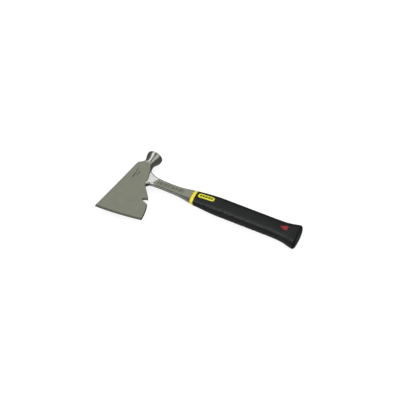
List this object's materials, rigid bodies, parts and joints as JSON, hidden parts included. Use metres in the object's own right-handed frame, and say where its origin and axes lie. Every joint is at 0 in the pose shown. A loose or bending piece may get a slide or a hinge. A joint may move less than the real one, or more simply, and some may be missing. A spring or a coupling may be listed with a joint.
{
  "type": "half hatchet",
  "caption": "One-piece forged steel half hatchet: flared blade with a nail slot, round hammer poll, slim shank and a moulded rubber grip that flares at the butt.",
  "frame": {"origin": "middle of the underside of the bounding box, the hatchet lying flat with its cheeks level", "axes": "+X along the handle from the head to the butt, +Y from the cutting edge to the striking face, +Z normal to the cheeks, up"},
  "size_m": [0.339, 0.1458, 0.0322],
  "materials": {
    "steel": "ground and clear-coated forged steel, bright on the web, scuffed satin on the cheeks",
    "rubber": "finely stippled black rubber",
    "yellow": "moulded yellow nylon",
    "yellow_badge": "moulded yellow nylon inlay with a dark border",
    "red": "moulded red nylon inlay",
    "core": "moulded nylon, hidden",
    "damper": "soft elastomer, hidden",
    "plug": "moulded black nylon"
  },
  "bodies": {
    "root": {"forged_body": "steel", "fork_damper": "damper", "core_half_front": "core", "core_half_rear": "core", "collar_ring": "yellow", "grip_sleeve": "rubber", "badge_front": "yellow_badge", "badge_rear": "yellow_badge", "marker_front": "red", "marker_rear": "red", "butt_plug": "plug"}
  },
  "joints": []
}
